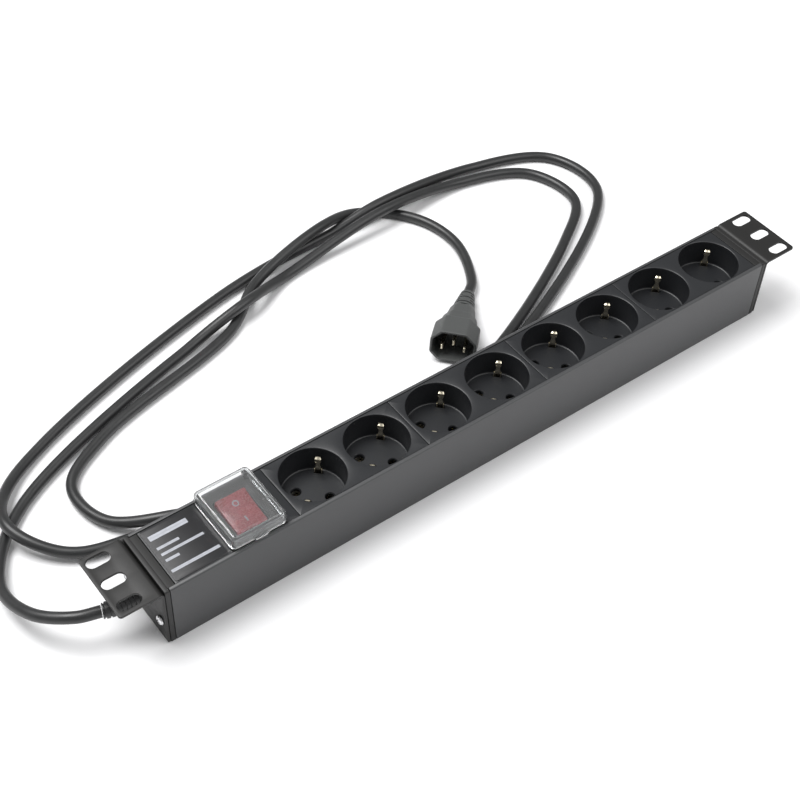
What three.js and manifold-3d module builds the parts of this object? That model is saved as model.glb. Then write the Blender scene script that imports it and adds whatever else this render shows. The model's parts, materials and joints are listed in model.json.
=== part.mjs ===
// Rack power strip: a 19-inch 1U channel with eight earthed round sockets, a rocker switch under a clear
// flip cover, two L-shaped rack brackets, and a captive cord that ends in a three-pin inlet plug.
// Millimetres. +X runs along the strip, +Y to the back, +Z up; the origin is the bottom centre of the strip.

import * as THREE from "three";
import { mergeVertices } from "three/addons/utils/BufferGeometryUtils.js";
import Module from "manifold-3d";

const wasm = await Module();
wasm.setup();

// ---- Driving dimensions ----

const gap = 0.3; // between pieces that touch
const strip = { halfLength: 212.5, halfWidth: 21.7, height: 43.5, wall: 1.2, lip: 1.5, lipEdge: 19.7 };
const rack = { width: 482.6, slotCentres: 465.1, slotPitch: 15.875, slotLength: 13.5, slotWidth: 7 };
const bracket = { inner: 216, thickness: 1.5, halfWidth: 21.6, bend: 3, foot: 1 };
const cap = { inner: 212.8, outer: 215.7, tongue: 208.55 };
const boss = { y: 17, z: 17, outer: 3.7, bore: 1.8, slot: 0.8 };
const socket = { pitch: 42.64, first: -111.5, radius: 18.6, depth: 17, wall: 1.7, floor: 2.5 };
const pin = { radius: 2.6, offset: 6.72 }; // half of the 19 mm pin spacing, turned 45 degrees
const top = { plate: 43.2, plateHalf: 19.4, step: 41.7, flange: 39.5, flangeHalf: 20.2 };
const clip = { reach: 17.9, width: 4.6, thickness: 0.8, low: 22.3, high: 39.5 };
const base = { wallIn: 11.3, wallOut: 12.8, low: 1.9, high: 22, web: 8, webTop: 9.5 };
const rail = { left: -131.5, right: 207, low: 9.8, high: 10.6, width: 7, tabTop: 20.3 };
const switchAt = { x: -157.3, cutX: 22.6, cutY: 28 };
const rocker = {
  halfLength: 9.2, radius: 11.8, pivot: 41.5, rest: 8.5, endHeight: 4.6, dish: 2.4, keel: -3.4,
};
const frameOpening = { halfX: 9.8, halfY: 12.2 };
const cover = { half: 17.1, near: -19.8, far: 20.2, low: 44.7, high: 52.8, wall: 1.4, round: 3 };
const hinge = { y: 18.3, z: 47, pin: 0.8, bore: 1.1, knuckle: 2 };
const gland = { z: 22, tube: 5.6, hole: 6, collar: 7.2, inside: -207, outside: -217.8 };
const sleeve = { root: 6, tipRadius: 4.3, bendFrom: -231.5, bendRadius: 28, bendLength: 9.5, parts: 4 };
const cordDiameter = 6.8;
// The plug lies on its shroud's back edge and on the end of its relief, so it leans back by `lean` degrees.
const plug = {
  x: 28.9, y: 54.2, z: 13.5, turn: 41.5, lean: 8, width: 28.6, height: 22, shroud: 18, body: 38, end: 57.5,
};

const moduleCentres = [0, 1, 2, 3].map((i) => socket.first + (2 * i + 0.5) * socket.pitch);
const socketCentres = [0, 1, 2, 3, 4, 5, 6, 7].map((i) => socket.first + i * socket.pitch);
const moduleHalf = socket.pitch - gap / 2;
const zoneLeft = -208.25;
const zoneRight = moduleCentres[0] - socket.pitch - gap / 2;

// The cord from the gland to the back of the plug: out to the left, round three loose turns behind the
// strip, each turn passing over the last in a long low hump, and up into the plug.
const cordRoute = [
  [-241.1, 1.7, 22], [-254, 6.2, 22], [-270, 24, 17.5], [-273, 56, 8.5], [-240, 100, 3.4],
  [-95, 155, 4], [-51, 161.5, 11.6], [-12, 175, 3.4], [72, 183, 12.8],
  [142, 185, 3.4], [186, 166, 3.4], [194, 128, 3.4], [160, 98, 3.4],
  [42, 40, 3.4], [8, 37.5, 3.4], [-195, 46, 3.4],
  [-234, 57, 6], [-253, 87, 11.8], [-236, 119, 5],
  [-60, 182, 3.4], [34, 192.5, 3.4], [76, 192, 11.4],
  [160, 193, 3.4], [210, 171, 3.4], [214, 126, 3.4],
  [44, 33, 3.4], [6, 29.5, 3.4], [-112, 29.5, 3.4],
  [-174, 41, 11.4], [-206, 65, 5], [-209, 98, 3.4], [-176, 121, 3.4],
  [-70, 152, 3.4], [-34, 177.5, 6.6], [30, 194, 12],
  [63, 199, 3.6], [92, 171, 3.4], [98, 138, 3.4],
  [83, 102, 4.1], [71.6, 92, 5.5],
];

// ---- Solids ----

function toSolid(geometry) {
  const bare = geometry.index ? geometry.toNonIndexed() : geometry.clone();
  bare.deleteAttribute("normal");
  bare.deleteAttribute("uv");
  const merged = mergeVertices(bare, 1e-4);
  return new wasm.Manifold(
    new wasm.Mesh({
      numProp: 3,
      vertProperties: merged.attributes.position.array,
      triVerts: new Uint32Array(merged.index.array),
    }),
  );
}

function toGeometry(solid) {
  const mesh = solid.getMesh();
  const geometry = new THREE.BufferGeometry();
  geometry.setAttribute("position", new THREE.BufferAttribute(new Float32Array(mesh.vertProperties), 3));
  geometry.setIndex(new THREE.BufferAttribute(new Uint32Array(mesh.triVerts), 1));
  geometry.computeVertexNormals();
  return geometry;
}

const join = (...pieces) => toGeometry(pieces.map(toSolid).reduce((a, b) => a.add(b)));
const cut = (piece, ...tools) =>
  toGeometry(tools.map(toSolid).reduce((a, b) => a.subtract(b), toSolid(piece)));
const common = (...pieces) => toGeometry(pieces.map(toSolid).reduce((a, b) => a.intersect(b)));

function box([x0, x1], [y0, y1], [z0, z1]) {
  return new THREE.BoxGeometry(x1 - x0, y1 - y0, z1 - z0).translate(
    (x0 + x1) / 2,
    (y0 + y1) / 2,
    (z0 + z1) / 2,
  );
}

// A round bar from `from` to `to` along one axis; the other two coordinates are in `at`.
function bar(axis, at, radius, [from, to], sides = 24) {
  const geometry = new THREE.CylinderGeometry(radius, radius, to - from, sides);
  if (axis === "x") geometry.rotateZ(-Math.PI / 2);
  if (axis === "z") geometry.rotateX(Math.PI / 2);
  const middle = (from + to) / 2;
  const place = { x: [middle, ...at], y: [at[0], middle, at[1]], z: [...at, middle] }[axis];
  return geometry.translate(...place);
}

// An outline in a plane, drawn out along the third axis. "x": outline in Y, Z. "y": in X, Z. "z": in X, Y.
function drawOut(axis, outline, [from, to], curveSegments = 6) {
  const depth = to - from;
  const geometry = new THREE.ExtrudeGeometry(outline, { depth, bevelEnabled: false, curveSegments });
  const [x, y, z] = [new THREE.Vector3(1, 0, 0), new THREE.Vector3(0, 1, 0), new THREE.Vector3(0, 0, 1)];
  const turn = new THREE.Matrix4();
  if (axis === "x") turn.makeBasis(y, z, x).setPosition(from, 0, 0);
  if (axis === "y") turn.makeBasis(x, z, y.clone().negate()).setPosition(0, to, 0);
  if (axis === "z") turn.makeBasis(x, y, z).setPosition(0, 0, from);
  return geometry.applyMatrix4(turn);
}

function polygon(points) {
  return new THREE.Shape(points.map(([u, v]) => new THREE.Vector2(u, v)));
}

// A rectangle whose four corners are rounded; `radii` go round from low u, low v, against the clock.
function roundedRectangle([u0, u1], [v0, v1], radii) {
  const [a, b, c, d] = Array.isArray(radii) ? radii : [radii, radii, radii, radii];
  const outline = new THREE.Shape();
  outline.moveTo(u0 + a, v0);
  outline.lineTo(u1 - b, v0);
  if (b) outline.absarc(u1 - b, v0 + b, b, -Math.PI / 2, 0);
  outline.lineTo(u1, v1 - c);
  if (c) outline.absarc(u1 - c, v1 - c, c, 0, Math.PI / 2);
  outline.lineTo(u0 + d, v1);
  if (d) outline.absarc(u0 + d, v1 - d, d, Math.PI / 2, Math.PI);
  outline.lineTo(u0, v0 + a);
  if (a) outline.absarc(u0 + a, v0 + a, a, Math.PI, 1.5 * Math.PI);
  return outline;
}

// ---- Assembly ----

const assembly = new THREE.Group();
const finishes = {
  channel: { color: 0x4b4c4f, roughness: 0.5, metalness: 0.3 },
  bracket: { color: 0x2b2d30, roughness: 0.45, metalness: 0.4 },
  steel: { color: 0xb9bbbd, roughness: 0.3, metalness: 1 },
  brass: { color: 0xb59a5a, roughness: 0.35, metalness: 1 },
  capPlastic: { color: 0x2a2b2e, roughness: 0.55, metalness: 0 },
  socketPlastic: { color: 0x34373b, roughness: 0.5, metalness: 0 },
  label: { color: 0x1c1d20, roughness: 0.4, metalness: 0 },
  innerPlastic: { color: 0xc9c6bd, roughness: 0.6, metalness: 0 },
  rockerRed: { color: 0xc2324a, roughness: 0.25, metalness: 0 },
  clear: { color: 0xe8e4e4, roughness: 0.1, metalness: 0, transparent: true, opacity: 0.35 },
  glass: { color: 0xf0d9c8, roughness: 0.05, metalness: 0 },
  rubber: { color: 0x3a3b3e, roughness: 0.65, metalness: 0 },
  brownLead: { color: 0x5e3a22, roughness: 0.5, metalness: 0 },
  blueLead: { color: 0x2c55a0, roughness: 0.5, metalness: 0 },
  greenLead: { color: 0x4f8a3a, roughness: 0.5, metalness: 0 },
};

function add(name, geometry, finish, parent = assembly) {
  const mesh = new THREE.Mesh(geometry, new THREE.MeshStandardMaterial(finishes[finish]));
  mesh.name = name;
  parent.add(mesh);
  return mesh;
}

// The two ends of the strip are alike: pieces are made for the right end and turned about Z for the left.
function endGroup(side) {
  const group = new THREE.Group();
  group.rotation.z = side === "left" ? Math.PI : 0;
  assembly.add(group);
  return group;
}
const ends = { left: endGroup("left"), right: endGroup("right") };

// ---- Housing: a channel with two inward lips and a screw boss low in each corner ----

function housing() {
  const { halfWidth: w, height: h, wall: t, lip, lipEdge } = strip;
  const outline = new THREE.Shape();
  outline.moveTo(lipEdge, h);
  outline.lineTo(lipEdge, h - lip);
  outline.lineTo(w - t, h - lip);
  outline.lineTo(w - t, t);
  outline.lineTo(t - w, t);
  outline.lineTo(t - w, h - lip);
  outline.lineTo(-lipEdge, h - lip);
  outline.lineTo(-lipEdge, h);
  outline.absarc(1 - w, h - 1, 1, Math.PI / 2, Math.PI);
  outline.absarc(1 - w, 1, 1, Math.PI, 1.5 * Math.PI);
  outline.absarc(w - 1, 1, 1, 1.5 * Math.PI, 2 * Math.PI);
  outline.absarc(w - 1, h - 1, 1, 0, Math.PI / 2);
  const length = [-strip.halfLength, strip.halfLength];
  const bosses = [-1, 1].map((side) => {
    const open = Math.asin(boss.slot / boss.bore);
    const openOut = Math.asin(boss.slot / boss.outer);
    const ring = new THREE.Shape();
    const inward = side > 0 ? Math.PI : 0;
    ring.absarc(side * boss.y, boss.z, boss.outer, inward + openOut, inward + 2 * Math.PI - openOut);
    ring.absarc(side * boss.y, boss.z, boss.bore, inward + 2 * Math.PI - open, inward + open, true);
    return drawOut("x", ring, length, 9);
  });
  return join(drawOut("x", outline, length, 2), ...bosses);
}
add("housing", housing(), "channel");

// ---- End caps: a plate over the whole section, with a tongue between the lips ----

function endCap(holeForGland) {
  const plate = drawOut(
    "x",
    roundedRectangle([-strip.halfWidth, strip.halfWidth], [0, strip.height], 1),
    [cap.inner, cap.outer],
    3,
  );
  const tongue = box([cap.tongue, cap.inner + 1], [-top.plateHalf, top.plateHalf], [38, top.plate]);
  const through = [cap.inner - 5, cap.outer + 5];
  const holes = [-1, 1].map((side) => bar("x", [side * boss.y, boss.z], boss.bore, through, 16));
  if (holeForGland) holes.push(bar("x", [0, gland.z], gland.hole, through));
  return cut(join(plate, tongue), ...holes);
}
add("end_cap_left", endCap(true), "capPlastic", ends.left);
add("end_cap_right", endCap(false), "capPlastic", ends.right);

// ---- Rack brackets: bent sheet, a leg on the cap and an ear flush with the top of the strip ----

function rackBracket(holeForGland) {
  const { inner, thickness: t, halfWidth: w, bend, foot } = bracket;
  const [h, tip] = [strip.height, rack.width / 2];
  const section = new THREE.Shape();
  section.moveTo(inner, foot);
  section.lineTo(inner + t, foot);
  section.absarc(inner + bend, h - bend, bend - t, Math.PI, Math.PI / 2, true);
  section.lineTo(tip, h - t);
  section.lineTo(tip, h);
  section.absarc(inner + bend, h - bend, bend, Math.PI / 2, Math.PI);
  const sheet = drawOut("y", section, [-w, w], 4);
  const plan = drawOut("z", roundedRectangle([inner - 5, tip], [-w, w], [0, 1.5, 1.5, 0]), [-1, h + 1], 2);
  const slotReach = (rack.slotLength - rack.slotWidth) / 2;
  const slots = [-1, 0, 1].map((row) => {
    const [x, y, r] = [rack.slotCentres / 2, row * rack.slotPitch, rack.slotWidth / 2];
    const outline = roundedRectangle([x - slotReach - r, x + slotReach + r], [y - r, y + r], r - 0.001);
    return drawOut("z", outline, [h - 2 * t, h + t], 3);
  });
  const through = [inner - 5, inner + 5];
  const holes = [-1, 1].map((side) => bar("x", [side * boss.y, boss.z], boss.bore, through, 16));
  if (holeForGland) holes.push(bar("x", [0, gland.z], gland.hole, through));
  return cut(common(sheet, plan), ...slots, ...holes);
}
add("rack_bracket_left", rackBracket(true), "bracket", ends.left);
add("rack_bracket_right", rackBracket(false), "bracket", ends.right);

// ---- Bracket screws: pan heads with a cross recess ----

function bracketScrew() {
  const [tip, under, radius, head, rise] = [200, bracket.inner + bracket.thickness + gap, 1.5, 2.9, 2];
  const profile = new THREE.Path();
  profile.moveTo(0, 0);
  profile.lineTo(radius - 0.5, 0);
  profile.lineTo(radius, 0.8);
  profile.lineTo(radius, under - tip);
  profile.lineTo(head, under - tip);
  profile.lineTo(head, under - tip + 0.6);
  profile.quadraticCurveTo(head * 0.9, under - tip + rise, 0, under - tip + rise);
  const lathe = new THREE.LatheGeometry(profile.getPoints(4), 16);
  lathe.rotateZ(-Math.PI / 2).translate(tip, 0, 0);
  const depth = [under + 0.8, under + rise + 1];
  return cut(lathe, box(depth, [-1.5, 1.5], [-0.3, 0.3]), box(depth, [-0.3, 0.3], [-1.5, 1.5]));
}
for (const side of ["left", "right"]) {
  for (const [row, y] of [["front", -boss.y], ["rear", boss.y]]) {
    const screw = add(`bracket_screw_${side}_${row}`, bracketScrew(), "steel", ends[side]);
    screw.position.set(0, side === "left" ? -y : y, boss.z);
  }
}

// ---- Socket blocks: a top plate with two deep round recesses ----

function socketBlock() {
  const floorTop = top.plate - socket.depth;
  const under = floorTop - socket.floor;
  const plates = join(
    box([-moduleHalf, moduleHalf], [-top.plateHalf, top.plateHalf], [top.step - 1, top.plate]),
    box([-moduleHalf, moduleHalf], [-top.flangeHalf, top.flangeHalf], [top.flange, top.step]),
  );
  const cups = [-0.5, 0.5].map((i) =>
    common(
      bar("z", [i * socket.pitch, 0], socket.radius + socket.wall, [under, top.flange + 1], 48),
      box([-50, 50], [-top.flangeHalf, top.flangeHalf], [0, 60]),
    ),
  );
  const holes = [-0.5, 0.5].flatMap((i) => {
    const x = i * socket.pitch;
    const slots = [45, 225].map((angle) =>
      box([15.6, 18.4], [-clip.width / 2 - gap, clip.width / 2 + gap], [under - 1, floorTop + 1])
        .rotateZ(THREE.MathUtils.degToRad(angle))
        .translate(x, 0, 0),
    );
    return [
      bar("z", [x, 0], socket.radius, [floorTop, top.plate + 1], 48),
      bar("z", [x - pin.offset, pin.offset], pin.radius, [under - 1, floorTop + 1], 16),
      bar("z", [x + pin.offset, -pin.offset], pin.radius, [under - 1, floorTop + 1], 16),
      ...slots,
    ];
  });
  return cut(join(plates, ...cups), ...holes);
}
const blockShape = socketBlock();
moduleCentres.forEach((x, i) => {
  add(`socket_block_${i + 1}`, blockShape.clone(), "socketPlastic").position.x = x;
});

// ---- Earth clips: a U-shaped spring strip on the diagonal of each socket ----

function earthClip() {
  const { reach: r, width, thickness: t, low, high } = clip;
  const outline = polygon([
    [-r, low], [r, low], [r, 28], [r - 1, 37], [r - 0.5, high],
    [r - 0.5 - t, high], [r - 1 - t, 37], [r - t, 28], [r - t, low + t],
    [t - r, low + t], [t - r, 28], [1 + t - r, 37], [0.5 + t - r, high],
    [0.5 - r, high], [1 - r, 37], [-r, 28],
  ]);
  return drawOut("y", outline, [-width / 2, width / 2]).rotateZ(Math.PI / 4);
}
const clipShape = earthClip();
socketCentres.forEach((x, i) => {
  add(`earth_clip_${i + 1}`, clipShape.clone(), "brass").position.x = x;
});

// ---- Block bases: an insulating carrier under each block, with walls beside the rails ----

function blockBase() {
  const walls = [-1, 1].map((side) => {
    const wall = [side * base.wallIn, side * base.wallOut].sort((a, b) => a - b);
    return box([-moduleHalf, moduleHalf], wall, [base.low, base.high]);
  });
  const reach = base.wallIn + 0.5;
  const web = box([-moduleHalf, moduleHalf], [-reach, reach], [base.web, base.webTop]);
  return join(...walls, web);
}
moduleCentres.forEach((x, i) => {
  add(`block_base_${i + 1}`, blockBase(), "innerPlastic").position.x = x;
});

// ---- Rails: two contact rails with a pair of tabs under each pin hole, and the earth rail ----

const contact = { offset: 2.7, thickness: 0.7, halfWidth: 3 };
const earthRail = { halfWidth: 2.4, low: 21, high: 22 };

function contactRail(y, pinX) {
  const flat = box([rail.left, rail.right], [y - rail.width / 2, y + rail.width / 2], [rail.low, rail.high]);
  const tabs = socketCentres.flatMap((x) =>
    [-1, 1].map((side) => {
      const middle = y + side * contact.offset;
      const thick = [middle - contact.thickness / 2, middle + contact.thickness / 2];
      const wide = [x + pinX - contact.halfWidth, x + pinX + contact.halfWidth];
      return box(wide, thick, [rail.low, rail.tabTop]);
    }),
  );
  return join(flat, ...tabs);
}
add("busbar_live", contactRail(pin.offset, -pin.offset), "brass");
add("busbar_neutral", contactRail(-pin.offset, pin.offset), "brass");
add(
  "busbar_earth",
  box([rail.left, rail.right], [-earthRail.halfWidth, earthRail.halfWidth], [earthRail.low, earthRail.high]),
  "brass",
);

// ---- Switch panel and label plate ----

const cutHalfX = switchAt.cutX / 2;
const cutHalfY = switchAt.cutY / 2;
add(
  "switch_panel",
  cut(
    join(
      box([zoneLeft, zoneRight], [-top.plateHalf, top.plateHalf], [top.step - 1, top.plate]),
      box([zoneLeft, zoneRight], [-top.flangeHalf, top.flangeHalf], [top.flange, top.step]),
    ),
    box([switchAt.x - cutHalfX, switchAt.x + cutHalfX], [-cutHalfY, cutHalfY], [30, 50]),
  ),
  "socketPlastic",
);
add(
  "label_plate",
  drawOut("z", roundedRectangle([-207.4, -176.2], [-18.6, 18.6], 1.2), [top.plate + 0.1, top.plate + 0.4], 4),
  "label",
);

// ---- Switch: frame with hinge lugs, body, lamp, rocker and terminal tabs ----

const switchGroup = new THREE.Group();
switchGroup.position.x = switchAt.x;
assembly.add(switchGroup);

function switchFrame() {
  const { halfX, halfY } = frameOpening;
  const outline = roundedRectangle([-cover.half, cover.half], [-19.5, 19.5], 1.5);
  const plate = drawOut("z", outline, [43.5, 44.4], 4);
  const opening = box([-halfX, halfX], [-halfY, halfY], [40, 50]);
  const lugs = [-1, 1].flatMap((side) => {
    const across = [side * 13.4, side * 15.4].sort((a, b) => a - b);
    return [
      box(across, [hinge.y - hinge.knuckle, 19.4], [44, 46.5]),
      bar("x", [hinge.y, hinge.z], hinge.knuckle, across, 20),
    ];
  });
  return cut(join(cut(plate, opening), ...lugs), bar("x", [hinge.y, hinge.z], hinge.bore, [-20, 20], 16));
}
add("switch_frame", switchFrame(), "capPlastic", switchGroup);

const stub = { radius: 0.95, bore: 1.3, reach: 10.65 };
add(
  "switch_body",
  cut(
    box([-10.95, 10.95], [-13.7, 13.7], [24, 43.2]),
    box([-10.1, 10.1], [-12.9, 12.9], [37.5, 50]),
    box([-3, 3], [-8, 8], [30, 40]),
    bar("x", [0, rocker.pivot], stub.bore, [-20, 20], 16),
  ),
  "capPlastic",
  switchGroup,
);
add("neon_lamp", bar("y", [0, 32.6], 2.2, [-5.5, 5.5], 16), "glass", switchGroup);

function rockerShape() {
  const { radius: r, endHeight, dish, keel } = rocker;
  const endAngle = Math.asin(endHeight / r);
  const startAngle = -0.08;
  const outline = new THREE.Shape();
  outline.moveTo(0, keel);
  outline.lineTo(r * Math.cos(startAngle), r * Math.sin(startAngle));
  outline.absarc(0, 0, r, startAngle, endAngle);
  outline.quadraticCurveTo(0, dish, -r * Math.cos(endAngle), endHeight);
  outline.absarc(0, 0, r, Math.PI - endAngle, Math.PI - startAngle);
  outline.lineTo(0, keel);
  const body = drawOut("x", outline, [-rocker.halfLength, rocker.halfLength], 8);
  return join(body, bar("x", [0, 0], stub.radius, [-stub.reach, stub.reach], 16));
}
const rockerMesh = add("rocker", rockerShape(), "rockerRed", switchGroup);
rockerMesh.position.z = rocker.pivot;
rockerMesh.rotation.x = THREE.MathUtils.degToRad(rocker.rest);

const tabPlaces = { live_in: [-5.5, 9], neutral_in: [-5.5, -9], live_out: [5.5, 9], neutral_out: [5.5, -9] };
for (const [name, [x, y]] of Object.entries(tabPlaces)) {
  const tab = box([x - 0.4, x + 0.4], [y - 3.15, y + 3.15], [14.7, 23.7]);
  add(`switch_tab_${name}`, tab, "brass", switchGroup);
}

// ---- Switch cover: a clear box that turns up about two pins along its back edge ----

function coverBlock(inset, low) {
  const { half, near, far, high, round } = cover;
  const r = round - inset;
  const section = roundedRectangle([near + inset, far - inset], [low, high - inset], [0, 0, r, r]);
  const front = roundedRectangle([-half + inset, half - inset], [low, high - inset], [0, 0, r, r]);
  return common(
    drawOut("x", section, [-half, half], 5),
    drawOut("y", front, [near - 1, far + 1], 5),
  );
}

function switchCover() {
  const { half, low, wall } = cover;
  const shell = cut(coverBlock(0, low), coverBlock(wall, low - 5));
  const lugRoom = box([-half + wall, half - wall], [hinge.y - 2.5, 30], [low - 1, hinge.z + 2.25]);
  const corner = box([-half - 1, half + 1], [hinge.y, 30], [low - 1, hinge.z]);
  const kept = bar("x", [hinge.y, hinge.z], 2.1, [-half - 2, half + 2], 32);
  const finger = drawOut("z", roundedRectangle([-4, 4], [-21.3, -19.3], [1, 1, 0, 0]), [44.9, 46.3], 3);
  const bore = bar("x", [hinge.y, hinge.z], hinge.bore, [-half - 2, half + 2], 16);
  return cut(join(shell, finger), lugRoom, cut(corner, kept), bore);
}
add("switch_cover", switchCover(), "clear", switchGroup);
for (const [name, side] of [["left", -1], ["right", 1]]) {
  const reach = [side * 13.1, side * 17].sort((a, b) => a - b);
  add(`cover_hinge_pin_${name}`, bar("x", [hinge.y, hinge.z], hinge.pin, reach, 16), "steel", switchGroup);
}

// ---- Gland at the left end: a bushing moulded on the cord, held by a nut ----

// Its tapered sleeve is straight at first and then curves toward the back with the cord.
function cordBushing() {
  const { root, tipRadius, bendFrom, bendRadius, bendLength, parts } = sleeve;
  const rootAt = gland.outside - 2.4;
  const tip = bendFrom - bendLength;
  const radiusAt = (x) => root + ((tipRadius - root) * (x - rootAt)) / (tip - rootAt);
  const profile = [
    [0, gland.inside], [gland.tube, gland.inside], [gland.tube, gland.outside], [gland.collar, gland.outside],
    [gland.collar, gland.outside - 1.6], [root, rootAt],
  ];
  for (let i = 0; i <= parts; i++) {
    const x = bendFrom - (bendLength * i) / parts;
    profile.push([radiusAt(x), x]);
  }
  profile.push([0, tip]);
  const points = profile.reverse().map(([radius, x]) => new THREE.Vector2(radius, x));
  const geometry = new THREE.LatheGeometry(points, 24).rotateZ(-Math.PI / 2);
  const place = geometry.attributes.position;
  for (let i = 0; i < place.count; i++) {
    const angle = (bendFrom - place.getX(i)) / bendRadius;
    if (angle <= 0) continue;
    const reach = bendRadius - place.getY(i);
    place.setX(i, bendFrom - reach * Math.sin(angle));
    place.setY(i, bendRadius - reach * Math.cos(angle));
  }
  return geometry.translate(0, 0, gland.z);
}
add("cord_bushing", cordBushing(), "rubber");
add(
  "bushing_nut",
  cut(
    bar("x", [0, gland.z], 9, [-strip.halfLength, -209.5], 6),
    bar("x", [0, gland.z], gland.tube + gap, [-220, -200]),
  ),
  "innerPlastic",
);

// ---- Internal leads and the earth stud ----

function tube(points, diameter, steps) {
  const path = new THREE.CatmullRomCurve3(points.map((p) => new THREE.Vector3(...p)), false, "centripetal");
  const section = new THREE.Shape();
  section.absarc(0, 0, diameter / 2, 0, 2 * Math.PI);
  return new THREE.ExtrudeGeometry(section, { steps, curveSegments: 4, extrudePath: path });
}

const leads = {
  lead_live_in: [
    "brownLead",
    [[-206.5, 2.8, 22], [-200, 5, 19], [-188, 8, 9], [-170, 9, 6.5], [-162.8, 9, 13]],
  ],
  lead_neutral_in: [
    "blueLead",
    [[-206.5, -2.8, 22], [-200, -5, 19], [-188, -8, 9], [-170, -9, 6.5], [-162.8, -9, 13]],
  ],
  lead_earth: [
    "greenLead",
    [[-206.5, 0, 23], [-190, 0, 20], [-160, 0, 18.5], [-145, 0, 19.5], [-133, 0, 20.5]],
  ],
  lead_live_out: ["brownLead", [[-151.8, 9, 13], [-146, 8.6, 5.6], [-140, 7.6, 6.5], [-133.5, 7, 10]]],
  lead_neutral_out: ["blueLead", [[-151.8, -9, 13], [-146, -8.6, 5.6], [-140, -7.6, 6.5], [-133.5, -7, 10]]],
};
const leadDiameter = 2.2;
for (const [name, [finish, points]] of Object.entries(leads)) {
  add(name, tube(points, leadDiameter, 10), finish);
}

const stud = { at: [-196, -14], radius: 1.9, nutRadius: 3.6, nutBore: 2.2 };
add("earth_stud", bar("z", stud.at, stud.radius, [1.5, 9], 16), "steel");
add(
  "earth_nut",
  cut(bar("z", stud.at, stud.nutRadius, [4, 6.8], 6), bar("z", stud.at, stud.nutBore, [0, 20], 16)),
  "steel",
);

// ---- Power cord ----

// A route sampled by the same number of steps from each point to the next.
// The cord rests on the floor, so its middle is never lower than its own radius.
class CordPath extends THREE.CatmullRomCurve3 {
  getPoint(t, target) {
    const point = super.getPoint(t, target);
    point.z = Math.max(point.z, cordDiameter / 2);
    return point;
  }
  getPointAt(u, target) {
    return this.getPoint(u, target);
  }
  getTangentAt(u, target) {
    return this.getTangent(u, target);
  }
  getSpacedPoints(divisions) {
    return this.getPoints(divisions);
  }
}
const cordSection = new THREE.Shape();
cordSection.absarc(0, 0, cordDiameter / 2, 0, 2 * Math.PI);
add(
  "power_cord",
  new THREE.ExtrudeGeometry(cordSection, {
    steps: 3 * (cordRoute.length - 1),
    curveSegments: 5,
    extrudePath: new CordPath(cordRoute.map((p) => new THREE.Vector3(...p)), false, "centripetal"),
  }),
  "rubber",
);

// ---- Plug: an open shroud round three flat pins, a tapered grip and a ribbed relief ----

const plugGroup = new THREE.Group();
plugGroup.position.set(plug.x, plug.y, plug.z);
plugGroup.rotation.set(0, THREE.MathUtils.degToRad(plug.lean), THREE.MathUtils.degToRad(plug.turn), "ZYX");
assembly.add(plugGroup);

const ring = (halfWidth, halfHeight, corner) =>
  roundedRectangle([-halfWidth, halfWidth], [-halfHeight, halfHeight], corner);

// The grip narrows evenly from the shroud's outline to its back: a drawn-out outline, squeezed along X.
function plugGrip() {
  const [from, to] = [plug.shroud - 0.5, plug.body];
  const geometry = drawOut("x", ring(plug.width / 2, plug.height / 2, 5), [from, to], 4);
  const place = geometry.attributes.position;
  const back = { y: 19 / plug.width, z: 17 / plug.height };
  for (let i = 0; i < place.count; i++) {
    if (place.getX(i) < to - 0.01) continue;
    place.setY(i, place.getY(i) * back.y);
    place.setZ(i, place.getZ(i) * back.z);
  }
  return geometry;
}

const shroudDepth = 14.5;
add(
  "plug_body",
  cut(
    join(drawOut("x", ring(plug.width / 2, plug.height / 2, 5), [0, plug.shroud], 4), plugGrip()),
    drawOut("x", ring(plug.width / 2 - 2.2, plug.height / 2 - 2.4, 3.4), [-1, shroudDepth], 4),
  ),
  "rubber",
  plugGroup,
);
const pinPlaces = { live: [7, -2], neutral: [-7, -2], earth: [0, 2] };
for (const [name, [y, z]] of Object.entries(pinPlaces)) {
  const blade = box([1.5, shroudDepth - gap], [y - 1, y + 1], [z - 2, z + 2]);
  add(`plug_pin_${name}`, blade, "brass", plugGroup);
}

function plugRelief() {
  const [from, to, ribs] = [plug.body + gap, plug.end - gap, 5];
  const radiusAt = (x) => 7.2 - (2.9 * (x - from)) / (to - from);
  const profile = [new THREE.Vector2(0, to)];
  const rib = (to - from) / ribs;
  for (let i = ribs - 1; i >= 0; i--) {
    const [near, far] = [from + i * rib, from + (i + 1) * rib];
    profile.push(new THREE.Vector2(radiusAt(far), far));
    profile.push(new THREE.Vector2(radiusAt(near), near + rib * 0.35));
    if (i) profile.push(new THREE.Vector2(radiusAt(near) - 1, near + rib * 0.3));
    if (i) profile.push(new THREE.Vector2(radiusAt(near) - 1, near));
  }
  profile.push(new THREE.Vector2(radiusAt(from), from), new THREE.Vector2(0, from));
  return new THREE.LatheGeometry(profile.reverse(), 16).rotateZ(-Math.PI / 2);
}
add("plug_relief", plugRelief(), "rubber", plugGroup);

export default assembly;
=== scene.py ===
"""The rack power strip's looks: camera, cord, detailed pieces, materials, floor and light."""

import json
import math

import bmesh
import bpy
from mathutils import Matrix, Vector


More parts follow.
